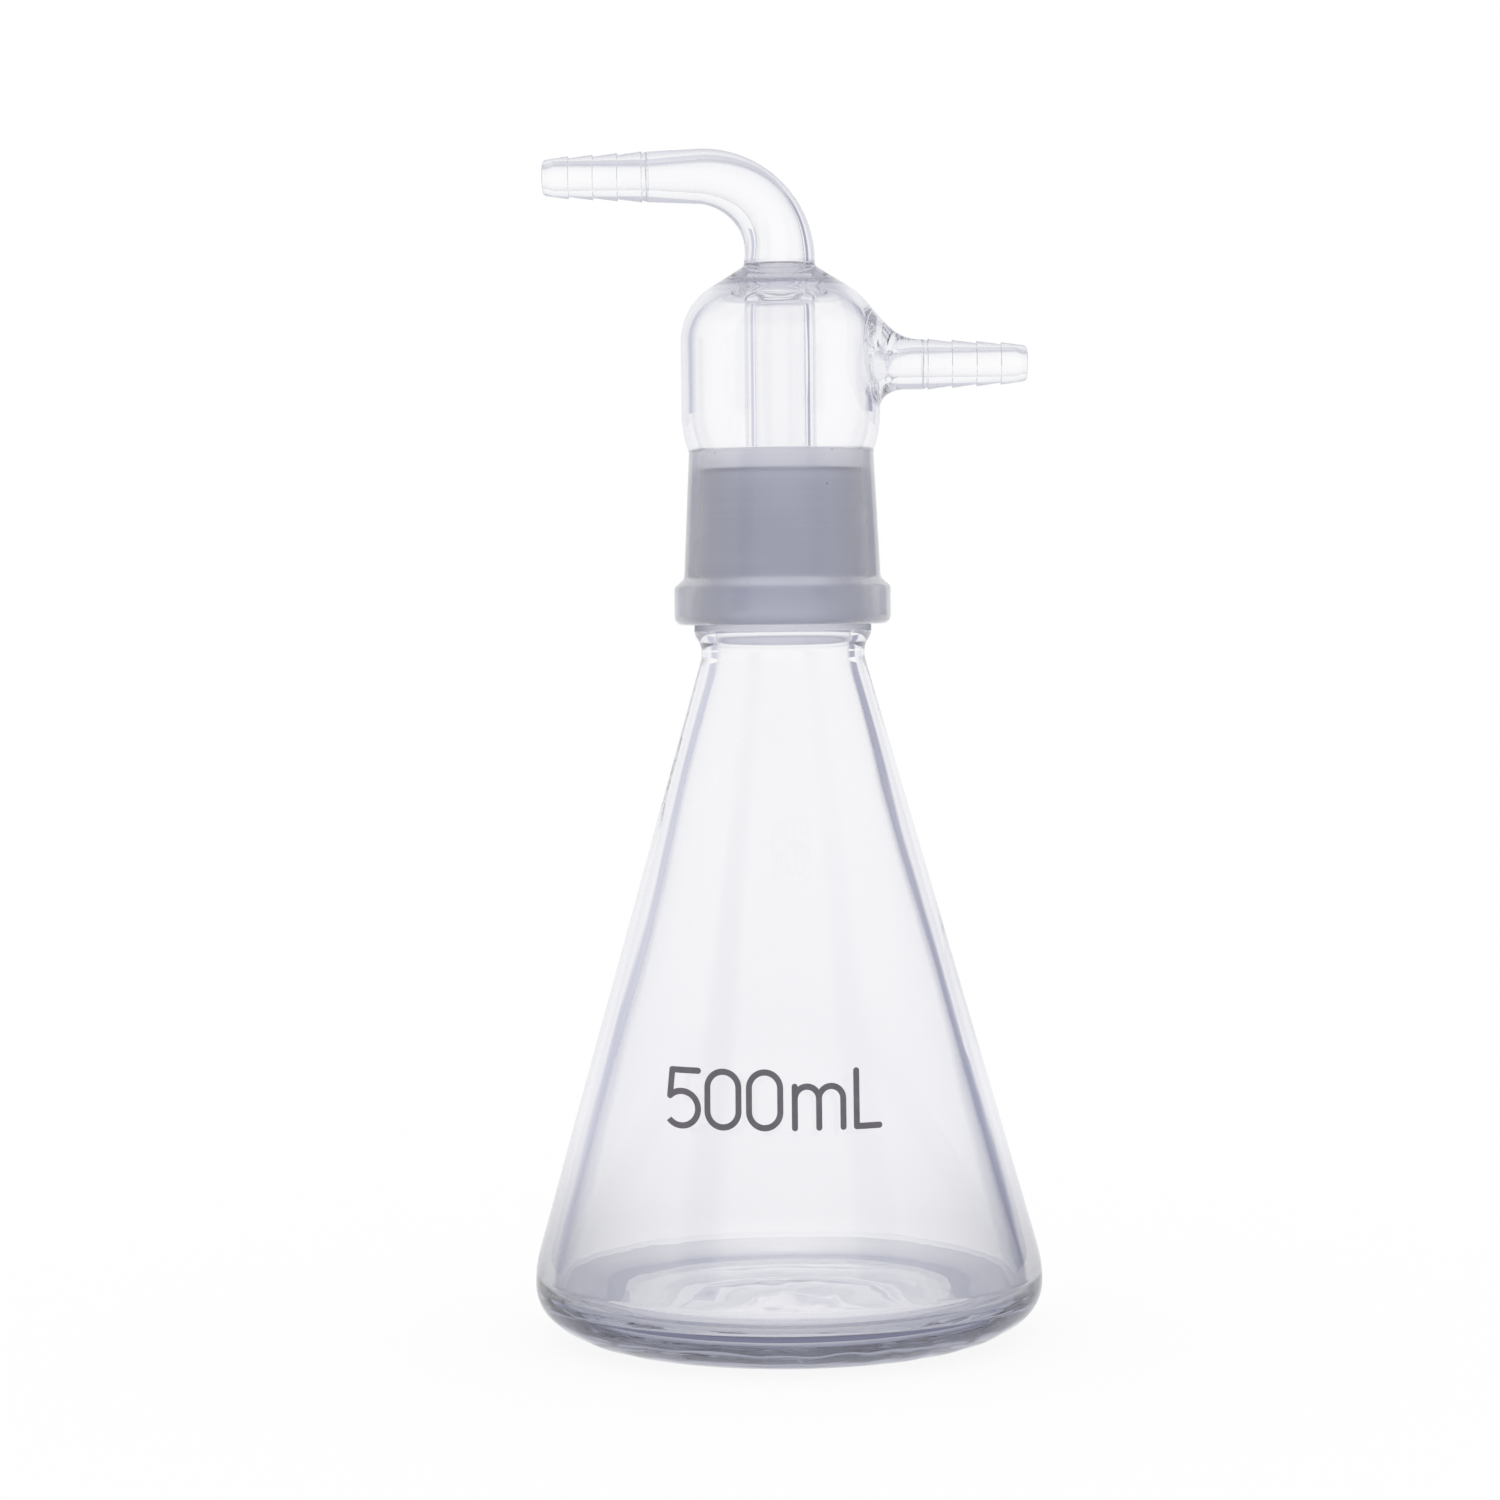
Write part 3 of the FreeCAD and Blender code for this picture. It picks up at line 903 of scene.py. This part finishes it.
def floor_material():
    """Pale sheet lit from below, as on a light table."""
    material, tree = new_material("Pale floor")
    dark, light = (0.93, 0.93, 0.93, 1), (0.95, 0.95, 0.95, 1)
    tone = mix_colour(tree, noise(tree, (3, 3, 3), 3.0), dark, light)
    sheet = add(tree, "BsdfPrincipled", {"Base Color": tone, "Roughness": 0.9, "Specular IOR Level": 0.1})
    glow = add(tree, "Emission", {"Color": white, "Strength": 1.0})
    glow_share = 0.9
    both = add(tree, "MixShader", {0: glow_share, 1: sheet.outputs[0], 2: glow.outputs[0]})
    finish_tree(tree, both.outputs[0])
    return material


# ---------------------------------------------------------------- assembly

# Every clear glass below is painted darker at glancing angles, its edge colour being the painted shade
# along its outlines; the flask's outer wall is also painted dark at its foot, near the floor
outer_glass = clear_glass("Clear glass", edge=(0.36, 0.37, 0.5, 1), sharpness=4.5,
                          foot={"edge": (0.01, 0.015, 0.06, 1), "sharpness": 0.9,
                                "low": 0.006, "high": 0.055})
bore_glass = clear_glass("Clear glass of the inner walls", edge=(0.2, 0.21, 0.34, 1), sharpness=5.0)
disc_glass = clear_glass("Clear glass of the floor", edge=(0.9, 0.9, 0.95, 1), sharpness=5.0)
# The glass round the floor, and the dome's ceiling, is painted grey over most angles, as the shadow under
# the foot
annulus_painted_shade_glass = clear_glass("Clear glass round the floor, painted dark", edge=(0.4, 0.42, 0.54, 1), sharpness=1.0)
# The heel's glass is painted dark at nearly every angle, as shade
heel_painted_shade_glass = clear_glass("Clear glass of the heel, painted dark", edge=(0.1, 0.115, 0.21, 1), sharpness=0.3)
# The collar's glass is painted dark over most angles, as shade
collar_painted_shade_glass = clear_glass("Clear glass of the collar, painted dark", edge=(0.08, 0.09, 0.18, 1), sharpness=0.9)
dome_glass = clear_glass("Clear glass of the dome", edge=(0.34, 0.36, 0.48, 1), sharpness=2.6)
tube_glass = clear_glass("Clear glass of the tubes", edge=(0.22, 0.24, 0.36, 1), sharpness=1.9)
tube_bore_glass = clear_glass("Clear glass of the tube bores", edge=(0.2, 0.21, 0.34, 1), sharpness=2.6)

# Each set has one material for each surface, in the order of their numbers. The tighter a piece curves,
# the less sharp its painted edge shade is, so that the painted dark line at its outline is as wide.
shared_glasses = [disc_glass, annulus_painted_shade_glass, heel_painted_shade_glass, collar_painted_shade_glass, ground_glass(), fused_seam()]
flask_glasses = [outer_glass, bore_glass] + shared_glasses
dome_glasses = [dome_glass, bore_glass] + shared_glasses
tube_glasses = [tube_glass, tube_bore_glass] + shared_glasses

flask_body(flask_glasses)
flask_ground_cone(flask_glasses)
head_ground_socket(flask_glasses)
head_dome(dome_glasses)
outlet_side_arm(tube_glasses)
inner_tube(flask_glasses)
inlet_elbow(tube_glasses)
inlet_low, inlet_high = span("inlet_hose_nozzle")
hose_nozzle("inlet_hose_nozzle", elbow_low[0], (inlet_low[2] + inlet_high[2]) / 2, -1, tube_glasses)
hose_nozzle("outlet_hose_nozzle", arm_high[0], outlet_z, 1, tube_glasses)
mark = enamel()
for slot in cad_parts["capacity_mark"].material_slots:
    slot.material = mark


# ---------------------------------------------------------------- studio

def lay_floor(half=6.0, drop=0.0001):
    """A wide pale floor a hair below the flask's foot, in metres."""
    mesh = bpy.data.meshes.new("floor")
    corners = [(-half, -half, -drop), (half, -half, -drop), (half, half, -drop), (-half, half, -drop)]
    mesh.from_pydata(corners, [], [(0, 1, 2, 3)])
    mesh.materials.append(floor_material())
    floor = bpy.data.objects.new("floor", mesh)
    bpy.context.scene.collection.objects.link(floor)


def soft_studio():
    """White surround with narrow soft grey flags between the lights, which edge the glass."""
    light_flag, dark_flag = (0.62, 0.63, 0.73, 1), (0.36, 0.37, 0.48, 1)
    flag_core, flag_edge = -0.96, -0.6
    flags_from, flags_to = 0.35, 0.6
    overhead = 0.5
    wash_strength = 1.08
    world = bpy.data.worlds.new("Studio")
    bpy.context.scene.world = world
    world.use_nodes = True
    tree = world.node_tree
    tree.nodes.clear()
    direction = add(tree, "SeparateXYZ", {"Vector": add(tree, "TexCoord").outputs["Generated"]})
    x, y, z = (direction.outputs[key] for key in "XYZ")
    azimuth = maths(tree, "ARCTAN2", y, x)
    four_lights = maths(tree, "COSINE", maths(tree, "MULTIPLY", azimuth, 4.0))
    flags = smooth_step(tree, four_lights, flag_core, flag_edge)
    height = smooth_step(tree, z, flags_from, flags_to)
    level = add(tree, "Mix", {"Factor": height, 2: flags, 3: overhead}).outputs[0]
    quarter = maths(tree, "SINE", maths(tree, "MULTIPLY", azimuth, 2.0))
    side = remap(tree, quarter, -1.0, 1.0, 0.0, 1.0)
    tone = mix_colour(tree, level, mix_colour(tree, side, light_flag, dark_flag), white)

    # Glass sees the lights and flags, the floor an even wash, and the camera plain white
    rays = add(tree, "LightPath")
    light = add(tree, "Background", {"Color": tone, "Strength": 1.0})
    wash = add(tree, "Background", {"Color": white, "Strength": wash_strength})
    backdrop = add(tree, "Background", {"Color": white, "Strength": 1.0})
    lit = add(tree, "MixShader",
              {0: rays.outputs["Is Diffuse Ray"], 1: light.outputs[0], 2: wash.outputs[0]})
    both = add(tree, "MixShader",
               {0: rays.outputs["Is Camera Ray"], 1: lit.outputs[0], 2: backdrop.outputs[0]})
    add(tree, "OutputWorld", {"Surface": both.outputs[0]})


def place_camera():
    """A long lens at the height of the joint's foot, looking slightly down, held almost level."""
    eye = Vector((0.0, -0.848, 0.162))
    pitch, yaw, roll = math.radians(-2.0), math.radians(0.52), 0.010
    forward = Vector((-math.sin(yaw) * math.cos(pitch), math.cos(yaw) * math.cos(pitch), math.sin(pitch)))
    level = forward.cross(Vector((0, 0, 1))).normalized()
    up = level.cross(forward) * math.cos(roll) + level * math.sin(roll)
    axes = Matrix((forward.cross(up), up, -forward)).transposed()
    camera = bpy.data.objects.new("camera", bpy.data.cameras.new("camera"))
    camera.data.lens = 90
    camera.data.sensor_width = 36
    camera.matrix_world = Matrix.Translation(eye) @ axes.to_4x4()
    bpy.context.scene.collection.objects.link(camera)
    bpy.context.scene.camera = camera


lay_floor()
soft_studio()
place_camera()

scene = bpy.context.scene
scene.view_settings.view_transform = "Standard"
# Light crosses many faces of thick glass, and comes out black where its bounces run out
scene.cycles.max_bounces = 72
scene.cycles.transmission_bounces = 64
scene.cycles.transparent_max_bounces = 32
scene.cycles.glossy_bounces = 64
scene.cycles.caustics_reflective = True
scene.cycles.caustics_refractive = True
